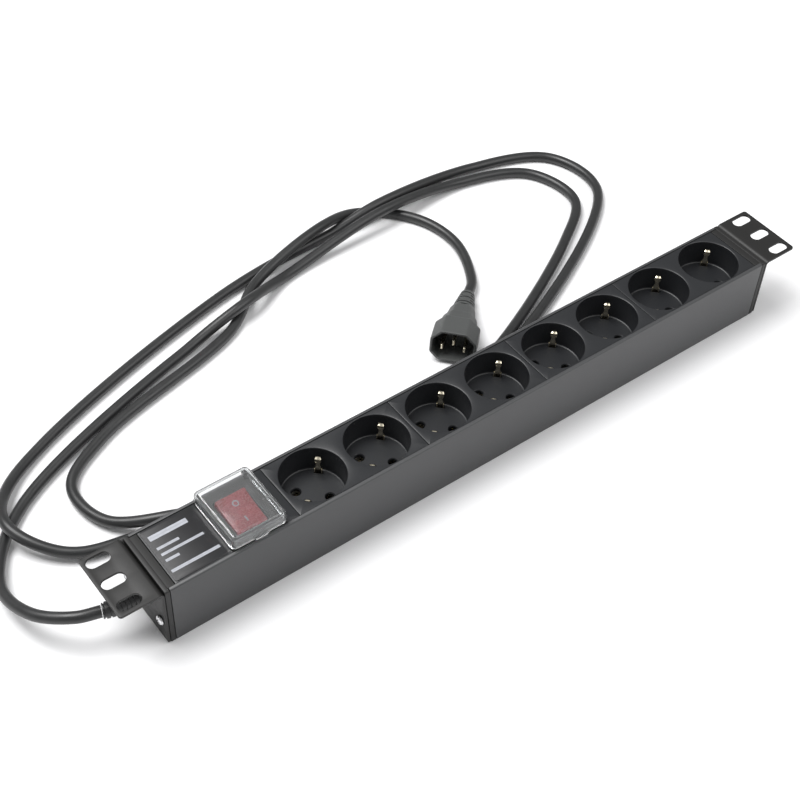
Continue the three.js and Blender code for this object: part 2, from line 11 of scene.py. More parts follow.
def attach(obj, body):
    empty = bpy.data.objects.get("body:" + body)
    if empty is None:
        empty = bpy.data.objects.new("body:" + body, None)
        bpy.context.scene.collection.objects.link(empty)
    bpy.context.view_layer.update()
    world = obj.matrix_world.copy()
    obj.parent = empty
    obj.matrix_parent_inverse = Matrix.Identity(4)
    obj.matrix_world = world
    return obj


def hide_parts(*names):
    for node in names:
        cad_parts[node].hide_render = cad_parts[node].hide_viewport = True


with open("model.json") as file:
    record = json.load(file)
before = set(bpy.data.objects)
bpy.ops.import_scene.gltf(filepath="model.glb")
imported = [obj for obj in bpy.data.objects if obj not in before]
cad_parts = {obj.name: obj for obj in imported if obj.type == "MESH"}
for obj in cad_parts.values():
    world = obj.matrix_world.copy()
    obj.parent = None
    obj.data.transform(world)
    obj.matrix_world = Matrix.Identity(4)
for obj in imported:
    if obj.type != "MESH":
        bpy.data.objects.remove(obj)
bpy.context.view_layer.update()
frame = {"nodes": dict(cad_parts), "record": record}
nodes = frame["nodes"]
MM = 0.001


# ---- Camera ----

def make_camera():
    """A long lens at the photograph's viewing angle, with its small roll."""
    azimuth, elevation, roll = (math.radians(a) for a in (-38.92, 47.28, 2.88))
    target = Vector((-28.46, 31.67, 22.0)) * MM
    distance = 859.6 * MM
    back = Vector((
        math.sin(azimuth) * math.cos(elevation),
        -math.cos(azimuth) * math.cos(elevation),
        math.sin(elevation),
    ))
    level = Vector((0, 0, 1)).cross(back).normalized()
    upright = back.cross(level)
    right = math.cos(roll) * level + math.sin(roll) * upright
    up = math.cos(roll) * upright - math.sin(roll) * level
    data = bpy.data.cameras.new("camera")
    data.lens = 66.44
    data.sensor_width = 36
    data.clip_start = 0.01
    data.clip_end = 20
    camera = bpy.data.objects.new("camera", data)
    bpy.context.scene.collection.objects.link(camera)
    axes = Matrix((right, up, back)).transposed().to_4x4()
    camera.matrix_world = Matrix.Translation(target + back * distance) @ axes
    bpy.context.scene.camera = camera


make_camera()


# ---- Materials ----

class Shader:
    """A Principled material and the small node groups that the finishes share. Lengths are in millimetres."""

    def __init__(self, name, **sockets):
        self.material = bpy.data.materials.new(name)
        self.material.use_nodes = True
        self.tree = self.material.node_tree
        self.bsdf = self.tree.nodes["Principled BSDF"]
        for socket, value in sockets.items():
            self.bsdf.inputs[socket.replace("_", " ")].default_value = value
        self.place = self.tree.nodes.new("ShaderNodeTexCoord").outputs["Object"]

    def node(self, kind, **settings):
        made = self.tree.nodes.new("ShaderNode" + kind)
        for key, value in settings.items():
            setattr(made, key, value)
        return made

    def link(self, output, target):
        self.tree.links.new(output, target)

    def noise(self, size, detail=3.0, roughness=0.55, stretch=None):
        """Noise with features about `size` mm across."""
        texture = self.node("TexNoise")
        texture.inputs["Scale"].default_value = 1000 / size
        texture.inputs["Detail"].default_value = detail
        texture.inputs["Roughness"].default_value = roughness
        if stretch:
            mapping = self.node("Mapping")
            mapping.inputs["Scale"].default_value = stretch
            self.link(self.place, mapping.inputs["Vector"])
            self.link(mapping.outputs["Vector"], texture.inputs["Vector"])
        else:
            self.link(self.place, texture.inputs["Vector"])
        return texture.outputs["Fac"]

    def spread(self, value, low, high, from_low=0.3, from_high=0.7):
        """Maps a noise value to a range."""
        made = self.node("MapRange")
        made.inputs["From Min"].default_value = from_low
        made.inputs["From Max"].default_value = from_high
        made.inputs["To Min"].default_value = low
        made.inputs["To Max"].default_value = high
        self.link(value, made.inputs["Value"])
        return made.outputs["Result"]

    def mix(self, factor, a, b):
        made = self.node("Mix", data_type="RGBA")
        if isinstance(factor, float):
            made.inputs["Factor"].default_value = factor
        else:
            self.link(factor, made.inputs["Factor"])
        for key, colour in (("A", a), ("B", b)):
            socket = next(s for s in made.inputs if s.name == key and s.type == "RGBA")
            if isinstance(colour, tuple):
                socket.default_value = (*colour, 1)
            else:
                self.link(colour, socket)
        return next(s for s in made.outputs if s.type == "RGBA")

    def colour(self, output):
        self.link(output, self.bsdf.inputs["Base Color"])

    def roughness(self, output):
        self.link(output, self.bsdf.inputs["Roughness"])

    def bump(self, height, depth, strength=1.0):
        """A bump whose full height is `depth` mm."""
        made = self.node("Bump")
        made.inputs["Strength"].default_value = strength
        made.inputs["Distance"].default_value = depth * MM
        self.link(height, made.inputs["Height"])
        self.link(made.outputs["Normal"], self.bsdf.inputs["Normal"])
        return made

    def edges(self, radius, low=0.02, high=0.25):
        """1 along sharp edges and 0 on flats, from how far a rounded normal leans from the true one."""
        rounded = self.node("Bevel", samples=4)
        rounded.inputs["Radius"].default_value = radius * MM
        geometry = self.node("NewGeometry")
        dot = self.node("VectorMath", operation="DOT_PRODUCT")
        self.link(rounded.outputs["Normal"], dot.inputs[0])
        self.link(geometry.outputs["Normal"], dot.inputs[1])
        return self.spread(dot.outputs["Value"], 1.0, 0.0, 1 - high, 1 - low)


def scaled(colour, factor):
    return tuple(min(1.0, c * factor) for c in colour)


def moulded(name, colour, roughness, grain=0.35, depth=0.02, sheen=0.0):
    """Moulded plastic: a spark-eroded grain, faint mottling, and paler edges that are partly rub wear and
    partly a painted highlight.
    """
    s = Shader(name, IOR=1.5, Sheen_Weight=sheen)
    mottle = s.noise(14, 4)
    fine = s.noise(grain, 2)
    body = s.mix(mottle, scaled(colour, 0.88), scaled(colour, 1.12))
    # Paler edges: the edge mask times patchy noise lightens the colour, a painted edge highlight mixed with
    # rub wear.
    rub_and_highlight_patches = s.spread(s.noise(3, 3), 0, 0.35)
    edge_highlight_and_wear_mask = s.node("Math", operation="MULTIPLY")
    s.link(s.edges(0.35), edge_highlight_and_wear_mask.inputs[0])
    s.link(rub_and_highlight_patches, edge_highlight_and_wear_mask.inputs[1])
    s.colour(s.mix(edge_highlight_and_wear_mask.outputs["Value"], body, scaled(colour, 1.9)))
    s.roughness(s.spread(fine, roughness - 0.06, roughness + 0.08))
    s.bump(fine, depth)
    return s.material


def powder_coat(name, colour, roughness, painted_highlight_and_wear=0.5):
    """Painted metal: an orange-peel skin, fine specks and thin, paler edges that are partly wear and partly a
    painted highlight.
    """
    s = Shader(name, IOR=1.5, Metallic=0.0)
    peel = s.noise(0.9, 3)
    speck = s.noise(0.25, 1)
    soft = s.noise(45, 4)
    body = s.mix(soft, scaled(colour, 0.93), scaled(colour, 1.07))
    # Paler edges: the edge mask times patchy noise lightens the paint, a painted edge highlight mixed with
    # wear.
    rub_and_highlight_patches = s.spread(s.noise(4, 4), 0, painted_highlight_and_wear)
    edge_highlight_and_wear_mask = s.node("Math", operation="MULTIPLY")
    s.link(s.edges(0.4), edge_highlight_and_wear_mask.inputs[0])
    s.link(rub_and_highlight_patches, edge_highlight_and_wear_mask.inputs[1])
    s.colour(s.mix(edge_highlight_and_wear_mask.outputs["Value"], body, scaled(colour, 2.6)))
    s.roughness(s.spread(speck, roughness - 0.07, roughness + 0.09))
    s.bump(peel, 0.018)
    return s.material


def metal(name, colour, roughness, brushed=None):
    """Bare metal with fine scratches and faint tarnish."""
    s = Shader(name, Metallic=1.0)
    scratches = s.noise(0.5, 4, stretch=brushed or (1, 1, 1))
    tarnish = s.noise(2.5, 4)
    s.colour(s.mix(tarnish, scaled(colour, 0.82), colour))
    s.roughness(s.spread(scratches, roughness - 0.08, roughness + 0.12))
    s.bump(scratches, 0.006)
    return s.material


def flexible(name, colour, roughness):
    """Extruded PVC: a satin skin with a fine grain and faint handling marks."""
    s = Shader(name, IOR=1.5, Sheen_Weight=0.06, Sheen_Roughness=0.5)
    mottle = s.noise(9, 4)
    fine = s.noise(0.3, 2)
    s.colour(s.mix(mottle, scaled(colour, 0.85), scaled(colour, 1.15)))
    s.roughness(s.spread(mottle, roughness - 0.05, roughness + 0.07))
    s.bump(fine, 0.012)
    return s.material


def clear_cover():
    """Clear polycarbonate, a little milky, with a haze of fine scuffs."""
    s = Shader("clear_polycarbonate", Transmission_Weight=0.95, IOR=1.45)
    scuffs = s.noise(6, 5, 0.7)
    s.colour(s.mix(scuffs, (0.84, 0.86, 0.86), (0.91, 0.92, 0.93)))
    s.roughness(s.spread(scuffs, 0.05, 0.11))
    s.bump(s.noise(9, 1), 0.003, 0.3)
    return s.material


def red_rocker():
    """Translucent red polycarbonate, its red varying at random in tone."""
    s = Shader("red_polycarbonate", IOR=1.52, Transmission_Weight=0.15, Subsurface_Weight=0.25,
               Subsurface_Scale=0.002, Coat_Weight=0.3, Coat_Roughness=0.12)
    depth = s.noise(22, 2)
    s.colour(s.mix(depth, (0.3, 0.018, 0.026), (0.4, 0.024, 0.036)))
    s.roughness(s.spread(s.noise(1.2, 3), 0.22, 0.34))
    s.bump(s.noise(0.5, 2), 0.004)
    return s.material


def lamp_glass():
    s = Shader("lamp_glass", Transmission_Weight=1.0, IOR=1.5, Base_Color=(0.95, 0.85, 0.75, 1))
    s.roughness(s.spread(s.noise(3, 3), 0.02, 0.1))
    return s.material


MATERIALS = {
    "channel": powder_coat("channel_paint", (0.05, 0.051, 0.053), 0.42),
    "bracket_steel": powder_coat("bracket_paint", (0.0075, 0.0072, 0.0068), 0.5, painted_highlight_and_wear=0.5),
    "cap_plastic": moulded("cap_plastic", (0.008, 0.0078, 0.0075), 0.5),
    "socket_plastic": moulded("socket_plastic", (0.0115, 0.0125, 0.0145), 0.42),
    "label": moulded("label_film", (0.006, 0.006, 0.0075), 0.4, grain=0.8, depth=0.004),
    "screw_steel": metal("zinc_steel", (0.75, 0.75, 0.76), 0.3),
    "brass": metal("plated_brass", (0.72, 0.66, 0.52), 0.26, brushed=(1, 1, 8)),
    "inner_plastic": moulded("inner_plastic", (0.6, 0.58, 0.52), 0.5),
    "rocker_red": red_rocker(),
    "cover_clear": clear_cover(),
    "lamp_glass": lamp_glass(),
    "cord_rubber": flexible("cord_pvc", (0.017, 0.0175, 0.018), 0.36),
    "plug_rubber": moulded("plug_pvc", (0.06, 0.063, 0.062), 0.5, grain=0.5, depth=0.015),
    "ink": moulded("pale_ink", (0.3, 0.31, 0.34), 0.5, grain=0.4, depth=0.004),
    "lead_brown": flexible("lead_brown", (0.12, 0.05, 0.02), 0.4),
    "lead_blue": flexible("lead_blue", (0.03, 0.09, 0.35), 0.4),
    "lead_green": flexible("lead_green", (0.08, 0.26, 0.04), 0.4),
}
SLOT_OF = {row["node"]: row["material_slot"] for row in frame["record"]["subparts"]}


# ---- Solids: rings of points with walls between them, and flats that fill rings, all in millimetres ----

LONG_FACET = 2.5


class Solid:
    """A closed mesh under construction. Walls with short facets are curved and get smooth shading."""

    def __init__(self):
        self.bm = bmesh.new()

    def ring(self, axis, points, place):
        """A ring of (u, v) points at a place along an axis; u and v are the other two axes, in order."""
        order = {
            "x": lambda u, v: (place, u, v),
            "y": lambda u, v: (u, place, v),
            "z": lambda u, v: (u, v, place),
        }
        return [self.bm.verts.new(Vector(order[axis](u, v)) * MM) for u, v in points]

    def wall(self, a, b):
        for i in range(len(a)):
            j = (i + 1) % len(a)
            face = self.bm.faces.new((a[i], a[j], b[j], b[i]))
            face.smooth = max((a[i].co - a[j].co).length, (b[i].co - b[j].co).length) < LONG_FACET * MM

    def walls(self, rings):
        for a, b in zip(rings, rings[1:]):
            self.wall(a, b)

    def flat(self, *rings):
        """Fills the first ring, leaving the others open as holes."""
        edges = []
        for ring in rings:
            for a, b in zip(ring, ring[1:] + ring[:1]):
                edges.append(self.bm.edges.get((a, b)) or self.bm.edges.new((a, b)))
        made = bmesh.ops.triangle_fill(self.bm, use_beauty=True, use_dissolve=False, edges=edges)
        for part in made["geom"]:
            if isinstance(part, bmesh.types.BMFace):
                part.smooth = False

    def stack(self, axis, outline, rows):
        """Walls through rows of (place, inset); `outline` gives the points for an inset."""
        rings = [self.ring(axis, outline(inward), place) for place, inward in rows]
        self.walls(rings)
        return rings[0], rings[-1]

    def drawn(self, axis, outline, start, end, edge, holes=()):
        """An outline drawn out along an axis, with round edges at both ends and round the holes."""
        rows = rounded_ends(start, end, edge)
        stacks = [self.stack(axis, lambda i, o=outline: inset(o, i), rows)]
        stacks += [self.stack(axis, lambda i, o=hole: inset(o, -i), rows) for hole in holes]
        self.flat(*[s[0] for s in stacks])
        self.flat(*[s[1] for s in stacks])
        return self

    def turned(self, profile, count=48, axis="x", centre=(0, 0)):
        """A profile of (place, radius) turned about an axis; rows with radius 0 are left out and both end
        rings are closed with flats.
        """
        rows = [row for row in profile if row[1] > 0]
        rings = [self.ring(axis, circle(centre, radius, count), place) for place, radius in rows]
        self.walls(rings)
        self.flat(rings[0])
        self.flat(rings[-1])
        return self

    def mesh(self, name, sharp=28):
        bmesh.ops.recalc_face_normals(self.bm, faces=self.bm.faces)
        made = bpy.data.meshes.new(name)
        self.bm.to_mesh(made)
        self.bm.free()
        made.set_sharp_from_angle(angle=math.radians(sharp))
        return made


def rounded_ends(start, end, edge, parts=3):
    """Rows of (place, inset) that round both ends of a drawn-out outline."""
    turns = [math.pi / 2 * i / parts for i in range(parts + 1)]
    near = [(start + edge * (1 - math.cos(a)), edge * (1 - math.sin(a))) for a in turns]
    far = [(end - edge * (1 - math.cos(a)), edge * (1 - math.sin(a))) for a in reversed(turns)]
    return near + far


def circle(centre, radius, count=48):
    return [
        (
            centre[0] + radius * math.cos(2 * math.pi * i / count),
            centre[1] + radius * math.sin(2 * math.pi * i / count),
        )
        for i in range(count)
    ]


def rounded(low, high, radii, sides=6, parts=1):
    """A rectangle with round corners, against the clock from its low corner, with divided sides."""
    a, b, c, d = radii if isinstance(radii, tuple) else (radii,) * 4
    corners = (
        ((low[0] + a, low[1] + a), a, 180), ((high[0] - b, low[1] + b), b, 270),
        ((high[0] - c, high[1] - c), c, 0), ((low[0] + d, high[1] - d), d, 90),
    )
    points = []
    for (u, v), radius, start in corners:
        for i in range(sides + 1 if radius else 1):
            angle = math.radians(start + 90 * i / sides)
            points.append((u + radius * math.cos(angle), v + radius * math.sin(angle)))
    return divided(points, sides + 1, parts) if parts > 1 else points


def divided(points, run, parts):
    """Adds points along the straight sides of an outline, which follow each run of corner points."""
    made = []
    for i, here in enumerate(points):
        after = points[(i + 1) % len(points)]
        steps = parts if (i + 1) % run == 0 else 1
        made += [tuple(Vector(here).lerp(Vector(after), k / steps)) for k in range(steps)]
    return made


def inset(points, depth):
    """Moves an outline that runs against the clock inward, or outward where depth is below 0."""
    if not depth:
        return list(points)
    made = []
    for before, here, after in zip(points[-1:] + points[:-1], points, points[1:] + points[:1]):
        ahead = (Vector(here) - Vector(before)).normalized()
        beyond = (Vector(after) - Vector(here)).normalized()
        first, second = Vector((-ahead.y, ahead.x)), Vector((-beyond.y, beyond.x))
        made.append(tuple(Vector(here) + (first + second) * depth / (1 + max(-0.6, first.dot(second)))))
    return made


def arc(centre, radius, start, end, parts):
    """Points of an arc, its angles in degrees."""
    made = []
    for i in range(parts + 1):
        angle = math.radians(start + (end - start) * i / parts)
        made.append((centre[0] + radius * math.cos(angle), centre[1] + radius * math.sin(angle)))
    return made


def bar_box(x, y, z, edge=0.2):
    """A block with its edges rounded in plan and at both ends."""
    return Solid().drawn("z", rounded((x[0], y[0]), (x[1], y[1]), edge, 3), z[0], z[1], edge).mesh("block")


def boolean(base, tool, operation="DIFFERENCE"):
    """Joins two meshes, or cuts one with the other."""
    holders = [bpy.data.objects.new("boolean", mesh) for mesh in (base, tool)]
    for holder in holders:
        bpy.context.scene.collection.objects.link(holder)
    modifier = holders[0].modifiers.new("boolean", "BOOLEAN")
    modifier.operation = operation
    modifier.object = holders[1]
    modifier.solver = "EXACT"
    shaped = holders[0].evaluated_get(bpy.context.evaluated_depsgraph_get())
    made = bpy.data.meshes.new_from_object(shaped)
    for holder in holders:
        bpy.data.objects.remove(holder)
    made.set_sharp_from_angle(angle=math.radians(28))
    return made


def union(first, *others):
    for other in others:
        first = boolean(first, other, "UNION")
    return first


def moved(mesh, x=0.0, y=0.0, z=0.0, turn=0.0, lean=0.0, tilt=0.0):
    """A copy tilted about X, leant about Y, turned about Z, in degrees, and then moved."""
    made = mesh.copy()
    turned = Matrix()
    for angle, axis in ((turn, "Z"), (lean, "Y"), (tilt, "X")):
        turned = turned @ Matrix.Rotation(math.radians(angle), 4, axis)
    made.transform(Matrix.Translation(Vector((x, y, z)) * MM) @ turned)
    return made


def piece(name, mesh, slot, body="strip", replaces=(), look=None):
    """A new object with the slot's material, or another look, riding on a body and standing for CAD nodes."""
    made = bpy.data.objects.new(name, mesh)
    bpy.context.scene.collection.objects.link(made)
    mesh.materials.clear()
    mesh.materials.append(MATERIALS[look or slot])
    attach(made, body)
    if replaces:
        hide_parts(*replaces)
    return made


# ---- The strip: housing, end caps, rack brackets and their screws ----

HALF_WIDTH, HEIGHT, WALL, LIP, LIP_EDGE = 21.7, 43.5, 1.2, 1.5, 19.7
BOSS_Y, BOSS_Z = 17, 17
GLAND_Z = 22


def housing():
    corner = 1.0
    profile = (
        arc((corner - HALF_WIDTH, corner), corner, 180, 270, 6)
        + arc((HALF_WIDTH - corner, corner), corner, 270, 360, 6)
        + arc((HALF_WIDTH - corner, HEIGHT - corner), corner, 0, 90, 6)
        + [(LIP_EDGE, HEIGHT), (LIP_EDGE, HEIGHT - LIP)]
        + [(HALF_WIDTH - WALL, HEIGHT - LIP), (HALF_WIDTH - WALL, WALL)]
        + [(WALL - HALF_WIDTH, WALL), (WALL - HALF_WIDTH, HEIGHT - LIP)]
        + [(-LIP_EDGE, HEIGHT - LIP), (-LIP_EDGE, HEIGHT)]
        + arc((corner - HALF_WIDTH, HEIGHT - corner), corner, 90, 180, 6)
    )
    shape = Solid().drawn("x", profile, -212.5, 212.5, 0.2).mesh("housing_profile")
    for side in (-1, 1):
        middle = 180 if side > 0 else 0
        boss = arc((side * BOSS_Y, BOSS_Z), 3.7, middle + 12.5, middle + 347.5, 24)
        boss += arc((side * BOSS_Y, BOSS_Z), 1.8, middle + 333.6, middle + 26.4, 20)
        shape = union(shape, Solid().drawn("x", boss, -212.5, 212.5, 0.1).mesh("boss"))
    piece("housing_channel", shape, "channel", replaces=["housing"])


def end_cap(side):
    holes = [circle((y, BOSS_Z), 1.8, 20) for y in (-BOSS_Y, BOSS_Y)]
    if side == "left":
        holes.append(circle((0, GLAND_Z), 6, 32))
    plate = Solid().drawn(
        "x", rounded((-HALF_WIDTH, 0), (HALF_WIDTH, HEIGHT), 1.1), 212.8, 215.7, 0.45, holes
    ).mesh("cap")
    tongue = bar_box((208.55, 214), (-19.4, 19.4), (38, 43.2), 0.3)
    turn = 180 if side == "left" else 0
    piece(f"end_cap_{side}_moulding", moved(union(plate, tongue), turn=turn), "cap_plastic",
          replaces=[f"end_cap_{side}"])


def rack_bracket(side):
    """Cut flat with its slots and holes, then bent: the sheet's own order of making."""
    inner, thickness, bend, foot = 216, 1.5, 3, 1
    leg = HEIGHT - bend - foot
    bend_length = math.pi / 2 * (bend - thickness / 2)
    ear_start = leg + bend_length
    ear_end = ear_start + 241.3 - inner - bend
    across = ear_start + 232.55 - inner - bend
    outline = rounded((0, -21.6), (ear_end, 21.6), (0.6, 1.8, 1.8, 0.6))
    holes = [
        rounded((across - 6.75, y - 3.5), (across + 6.75, y + 3.5), 3.49, 12) for y in (-15.875, 0, 15.875)
    ]
    holes += [circle((BOSS_Z - foot, y), 1.8, 20) for y in (-BOSS_Y, BOSS_Y)]
    if side == "left":
        holes.append(circle((GLAND_Z - foot, 0), 6, 32))
    solid = Solid().drawn("z", outline, 0, thickness, 0.25, holes)
    cuts = 8
    for i in range(cuts + 1):
        bmesh.ops.bisect_plane(
            solid.bm, geom=solid.bm.verts[:] + solid.bm.edges[:] + solid.bm.faces[:],
            plane_co=Vector((leg + bend_length * i / cuts, 0, 0)) * MM, plane_no=(1, 0, 0),
        )
    for face in solid.bm.faces:
        if leg < face.calc_center_median().x / MM < ear_start:
            face.smooth = True
    for vert in solid.bm.verts:
        s, y, w = vert.co / MM
        if s <= leg:
            place = (inner + w, y, foot + s)
        elif s < ear_start:
            angle = (s - leg) / (bend - thickness / 2)
            place = (
                inner + bend - (bend - w) * math.cos(angle), y, HEIGHT - bend + (bend - w) * math.sin(angle)
            )
        else:
            place = (inner + bend + s - ear_start, y, HEIGHT - w)
        vert.co = Vector(place) * MM
    turn = 180 if side == "left" else 0
    piece(f"rack_bracket_{side}_sheet", moved(solid.mesh("bracket"), turn=turn), "bracket_steel",
          replaces=[f"rack_bracket_{side}"])


def bracket_screw():
    """A pan-head screw along +X from the origin, with a cross recess in its head."""
    under = 17.8
    head = [(under + 0.05, 2.75), (under + 0.2, 2.9), (under + 0.7, 2.9)]
    head += [(under + 0.7 + 1.3 * math.sin(a), 2.9 * math.cos(a)) for a in (0.3, 0.6, 0.9, 1.15, 1.35)]
    shank = [(0, 0.9), (0.8, 1.5), (under, 1.5), (under, 2.6)]
    body = Solid().turned(shank + head, 32).mesh("screw")
    for size in ((0.33, 1.6), (1.6, 0.33)):
        slot = rounded((-size[0], -size[1]), (size[0], size[1]), 0.12, 3)
        cutter = Solid().drawn("x", slot, under + 0.7, 22, 0.02)
        body = boolean(body, cutter.mesh("cross"))
    return body


def strip_ends():
    screw = bracket_screw()
    for side, sign in (("left", -1), ("right", 1)):
        end_cap(side)
        rack_bracket(side)
        for row, y in (("front", -BOSS_Y), ("rear", BOSS_Y)):
            turn = 180 if sign < 0 else 0
            piece(f"bracket_screw_{side}_{row}_cross", moved(screw, x=sign * 200, y=y, z=BOSS_Z, turn=turn),
                  "screw_steel", replaces=[f"bracket_screw_{side}_{row}"])


# ---- Sockets: moulded double blocks and their earth clips ----

PITCH, FIRST = 42.64, -111.5
TOP, STEP, FLANGE, FLOOR = 43.2, 41.7, 39.5, 26.2
RECESS, PIN_HOLE, PIN_OFFSET = 18.6, 2.6, 6.72


def socket_block():
    """A top plate with a flange under the lips and two deep cups with pin holes and clip slots."""
    half = PITCH - 0.15
    cup, under, count = 20.1, FLOOR - 2.5, 96
    solid = Solid()
    plate = rounded((-half, -19.4), (half, 19.4), 0.3, 3)
    flange = rounded((-half, -20.1), (half, 20.1), 0.3, 3)
    edge = ((TOP, 0.25), (TOP - 0.08, 0.08), (TOP - 0.25, 0), (STEP, 0))
    outer = [solid.ring("z", inset(plate, i), z) for z, i in edge]
    outer += [solid.ring("z", flange, z) for z in (STEP, FLANGE)]
    solid.walls(outer)
    rims, cups = [], []
    for middle in (-PITCH / 2, PITCH / 2):
        rim = [(TOP, 0.7), (TOP - 0.1, 0.4), (TOP - 0.3, 0.14), (TOP - 0.7, 0), (TOP - 1.2, 0)]
        rim += [(FLOOR + 1.4, 0), (FLOOR + 0.8, -0.1), (FLOOR + 0.3, -0.4), (FLOOR, -0.9)]
        inner = [solid.ring("z", circle((middle, 0), RECESS + more, count), z) for z, more in rim]
        solid.walls(inner)
        outside = [solid.ring("z", circle((middle, 0), r, count), z) for z, r in
                   ((FLANGE, cup), (under + 0.5, cup), (under, cup - 0.5))]
        solid.walls(outside)
        openings = []
        for x, y in ((-PIN_OFFSET, PIN_OFFSET), (PIN_OFFSET, -PIN_OFFSET)):
            hole = circle((middle + x, y), PIN_HOLE, 28)
            rows = ((FLOOR, 0.55), (FLOOR - 0.25, 0.25), (FLOOR - 0.7, 0), (under, 0))
            openings.append([solid.ring("z", inset(hole, -more), z) for z, more in rows])
        for angle in (45, 225):
            spin = Matrix.Rotation(math.radians(angle), 2)
            slot = [tuple(spin @ Vector(p)) for p in rounded((14.9, -2.6), (17.0, 2.6), 0.3, 2)]
            slot = [(middle + x, y) for x, y in slot]
            rows = ((FLOOR, 0.0), (under, 0.0))
            openings.append([solid.ring("z", inset(slot, -more), z) for z, more in rows])
        for opening in openings:
            solid.walls(opening)
        solid.flat(inner[-1], *[o[0] for o in openings])
        solid.flat(outside[-1], *[o[-1] for o in openings])
        rims.append(inner[0])
        cups.append(outside[0])
    solid.flat(outer[0], *rims)
    solid.flat(outer[-1], *cups)
    return solid.mesh("socket_block")


def earth_clip():
    """A sprung strip: a channel-shaped foot, a leaning stem, and a crowned contact pad that curls over."""
    inner_face = [
        (23.2, 0.2), (26, 0.2), (29, 0.5), (31.5, 1.2), (33, 1.55), (34.4, 1.3), (35.2, 1.35), (36.3, 2.1),
    ]
    inner_face += [(37.6, 2.45), (38.7, 2.1), (39.4, 1.2)]
    half_widths = [2.3, 2.3, 2.1, 1.5, 1.25, 1.2, 1.5, 1.85, 1.9, 1.75, 1.3]
    thickness = 0.55
    solid = Solid()
    rings = []
    for (z, lean), half in zip(inner_face, half_widths):
        face = 16.3 - lean
        crown = 0.25 if z > 35 else 0.0
        section = [(face + thickness, -half), (face + 0.15, -half), (face, 0.15 - half), (face - crown, 0)]
        section += [(face, half - 0.15), (face + 0.15, half), (face + thickness, half)]
        rings.append(solid.ring("z", section, z))
    solid.walls(rings)
    solid.flat(rings[0])
    solid.flat(rings[-1])
    for side in (-1, 1):
        low, high = sorted((side * 1.75, side * 2.35))
        solid.drawn("z", rounded((15.2, low), (16.6, high), 0.15, 2), 23.4, 29.2, 0.15)
    base = rounded((-16.8, -2.1), (16.8, 2.1), 0.3, 2)
    solid.drawn("z", base, 22.4, 23.2, 0.1)
    half = solid.mesh("clip")
    whole = bmesh.new()
    whole.from_mesh(half)
    whole.from_mesh(moved(half, turn=180))
    whole.to_mesh(half)
    whole.free()
    return half


def sockets():
    block, clip = socket_block(), earth_clip()
    for i in range(4):
        placed = moved(block, x=FIRST + (2 * i + 0.5) * PITCH)
        piece(f"socket_block_{i + 1}_moulding", placed, "socket_plastic",
              replaces=[f"socket_block_{i + 1}"])
    for i in range(8):
        piece(f"earth_clip_{i + 1}_spring", moved(clip, x=FIRST + i * PITCH, turn=45), "brass",
              replaces=[f"earth_clip_{i + 1}"])


# ---- Switch: panel, label, frame, rocker and clear cover ----

SWITCH_X = -157.3
HINGE_Y, HINGE_Z = 18.3, 47
ZONE_LEFT = -208.25
ZONE_RIGHT = FIRST - PITCH / 2 - 0.15


def switch_panel():
    solid = Solid()
    plate = rounded((ZONE_LEFT, -19.4), (ZONE_RIGHT, 19.4), 0.3, 3)
    flange = rounded((ZONE_LEFT, -20.1), (ZONE_RIGHT, 20.1), 0.3, 3)
    edge = ((TOP, 0.25), (TOP - 0.08, 0.08), (TOP - 0.25, 0), (STEP, 0))
    outer = [solid.ring("z", inset(plate, i), z) for z, i in edge]
    outer += [solid.ring("z", flange, z) for z in (STEP, FLANGE)]
    solid.walls(outer)
    opening = rounded((SWITCH_X - 11.3, -14), (SWITCH_X + 11.3, 14), 0.4, 3)
    hole = [solid.ring("z", opening, z) for z in (TOP, FLANGE)]
    solid.walls(hole)
    solid.flat(outer[0], hole[0])
    solid.flat(outer[-1], hole[-1])
    piece("switch_panel_moulding", solid.mesh("switch_panel"), "socket_plastic", replaces=["switch_panel"])


def label():
    outline = rounded((-207.4, -18.6), (-176.2, 18.6), 1.2)
    film = Solid().drawn("z", outline, TOP + 0.1, TOP + 0.4, 0.06).mesh("label_film")
    piece("label_film", film, "label", replaces=["label_plate"])
    rows = (
        (12, 3.4, -205.2, 22.5), (4.2, 1.7, -205, 13), (-0.2, 1.7, -205, 25), (-4.6, 1.7, -205, 8),
        (-12, 1.9, -206, 28.5),
    )
    ink = Solid()
    for y, tall, left, length in rows:
        bar = rounded((left, y - tall / 2), (left + length, y + tall / 2), 0.3, 3)
        ink.drawn("z", bar, TOP + 0.4, TOP + 0.44, 0.01)
    piece("label_bars", ink.mesh("label_bars"), "label", look="ink")


def switch_frame():
    outline = rounded((-17.1, -19.5), (17.1, 19.5), 1.6)
    opening = rounded((-9.8, -12.2), (9.8, 12.2), 0.8)
    shape = Solid().drawn("z", outline, 43.5, 44.4, 0.3, [opening]).mesh("switch_frame")
    for side in (-1, 1):
        low, high = sorted((side * 13.4, side * 15.4))
        eye = arc((HINGE_Y, HINGE_Z), 2, -20, 200, 14)
        knuckle = [(16.3, 44), (19.4, 44), (20.2, 46.2)] + eye + [(16.3, 46.2)]
        lug = Solid().drawn("x", knuckle, low, high, 0.2, [circle((HINGE_Y, HINGE_Z), 1.1, 20)]).mesh("lug")
        shape = union(shape, lug)
    piece("switch_frame_moulding", moved(shape, x=SWITCH_X), "cap_plastic", replaces=["switch_frame"])


def rocker_surface(y):
    """Height of the rocker's dished top over its pivot."""
    high, reach = 4.6, 10.87
    t = y / reach
    return 2.4 + (high - 2.4) * (0.5 + 0.5 * t * t)


